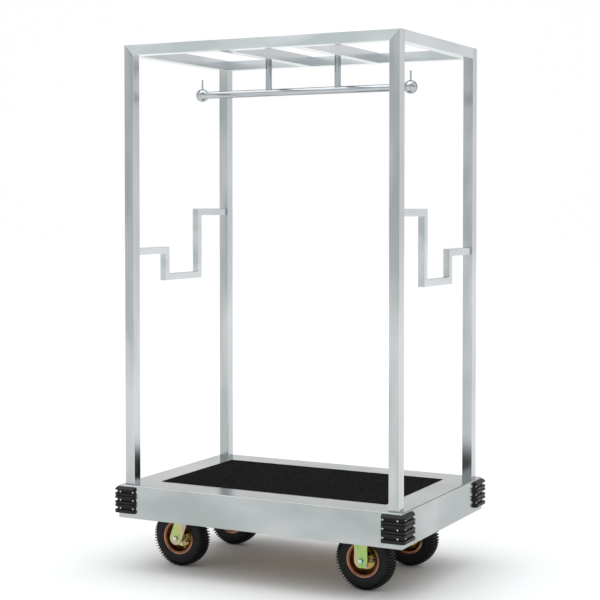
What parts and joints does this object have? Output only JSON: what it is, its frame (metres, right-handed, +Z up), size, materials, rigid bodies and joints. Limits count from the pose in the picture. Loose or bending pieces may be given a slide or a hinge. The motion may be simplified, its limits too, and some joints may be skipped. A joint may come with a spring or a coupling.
{
  "type": "hotel luggage cart",
  "caption": "Hotel luggage cart: carpeted stainless deck on pneumatic castors, square-tube frame with a hanging rail and stepped push handles.",
  "frame": {"origin": "on the floor below the middle of the deck, where the wheels' lowest points lie", "axes": "+X along the deck towards the fixed castors, +Y across the deck, +Z up"},
  "size_m": [1.113, 0.753, 1.85],
  "materials": {
    "brushed_stainless": "satin brushed stainless, grain along each tube and along the skirt",
    "plywood": "bare plywood, hidden below the carpet",
    "black_carpet": "black short cut pile",
    "polished_chrome": "polished",
    "bumper_rubber": "moulded black rubber, slight sheen",
    "bright_zinc": "bright zinc plate",
    "chassis_paint": "black powder coat",
    "yellow_zinc": "yellow-green iridescent passivated zinc",
    "bronze_rim": "bronze to gold passivated pressed steel",
    "tyre_rubber": "black tread rubber",
    "tube_rubber": "black butyl, metal valve"
  },
  "bodies": {
    "root": {"beam_back": "brushed_stainless", "beam_front": "brushed_stainless", "beam_left": "brushed_stainless", "beam_right": "brushed_stainless", "bumper_back_left": "bumper_rubber", "bumper_back_right": "bumper_rubber", "bumper_front_left": "bumper_rubber", "bumper_front_right": "bumper_rubber", "bumper_rivets": "bright_zinc", "carpet": "black_carpet", "castor_bolts": "bright_zinc", "chassis_frame": "chassis_paint", "cross_beam_left": "brushed_stainless", "cross_beam_right": "brushed_stainless", "deck_board": "plywood", "deck_shell": "brushed_stainless", "fixed_axles": "bright_zinc", "fork_back_right": "yellow_zinc", "fork_front_right": "yellow_zinc", "handle_left": "brushed_stainless", "handle_right": "brushed_stainless", "hang_rail": "polished_chrome", "kingpins": "yellow_zinc", "post_back_left": "brushed_stainless", "post_back_right": "brushed_stainless", "post_front_left": "brushed_stainless", "post_front_right": "brushed_stainless", "rail_ends": "polished_chrome", "rail_hangers": "polished_chrome", "swivel_plates": "yellow_zinc"},
    "wheel_front_left": {"tyre_front_left": "tyre_rubber", "inner_tube_front_left": "tube_rubber", "rim_outer_front_left": "bronze_rim", "rim_inner_front_left": "bronze_rim", "bearings_front_left": "bright_zinc", "rim_bolts_front_left": "bright_zinc"},
    "wheel_back_left": {"tyre_back_left": "tyre_rubber", "inner_tube_back_left": "tube_rubber", "rim_outer_back_left": "bronze_rim", "rim_inner_back_left": "bronze_rim", "bearings_back_left": "bright_zinc", "rim_bolts_back_left": "bright_zinc"},
    "wheel_front_right": {"tyre_front_right": "tyre_rubber", "inner_tube_front_right": "tube_rubber", "rim_outer_front_right": "bronze_rim", "rim_inner_front_right": "bronze_rim", "bearings_front_right": "bright_zinc", "rim_bolts_front_right": "bright_zinc"},
    "wheel_back_right": {"tyre_back_right": "tyre_rubber", "inner_tube_back_right": "tube_rubber", "rim_outer_back_right": "bronze_rim", "rim_inner_back_right": "bronze_rim", "bearings_back_right": "bright_zinc", "rim_bolts_back_right": "bright_zinc"},
    "swivel_front_left": {"fork_front_left": "yellow_zinc", "race_front_left": "yellow_zinc", "axle_front_left": "bright_zinc"},
    "swivel_back_left": {"fork_back_left": "yellow_zinc", "race_back_left": "yellow_zinc", "axle_back_left": "bright_zinc"}
  },
  "joints": [
    {"name": "swivel_front_left", "type": "hinge", "parent": "root", "child": "swivel_front_left", "pos_m": [-0.344, -0.188, 0.2], "axis": [0, 0, 1], "continuous": true},
    {"name": "swivel_back_left", "type": "hinge", "parent": "root", "child": "swivel_back_left", "pos_m": [-0.344, 0.188, 0.2], "axis": [0, 0, 1], "continuous": true},
    {"name": "spin_front_left", "type": "hinge", "parent": "swivel_front_left", "child": "wheel_front_left", "pos_m": [-0.389, -0.188, 0.104], "axis": [0, 1, 0], "continuous": true},
    {"name": "spin_front_right", "type": "hinge", "parent": "root", "child": "wheel_front_right", "pos_m": [0.337, -0.188, 0.104], "axis": [0, 1, 0], "continuous": true},
    {"name": "spin_back_left", "type": "hinge", "parent": "swivel_back_left", "child": "wheel_back_left", "pos_m": [-0.389, 0.188, 0.104], "axis": [0, 1, 0], "continuous": true},
    {"name": "spin_back_right", "type": "hinge", "parent": "root", "child": "wheel_back_right", "pos_m": [0.337, 0.188, 0.104], "axis": [0, 1, 0], "continuous": true}
  ]
}
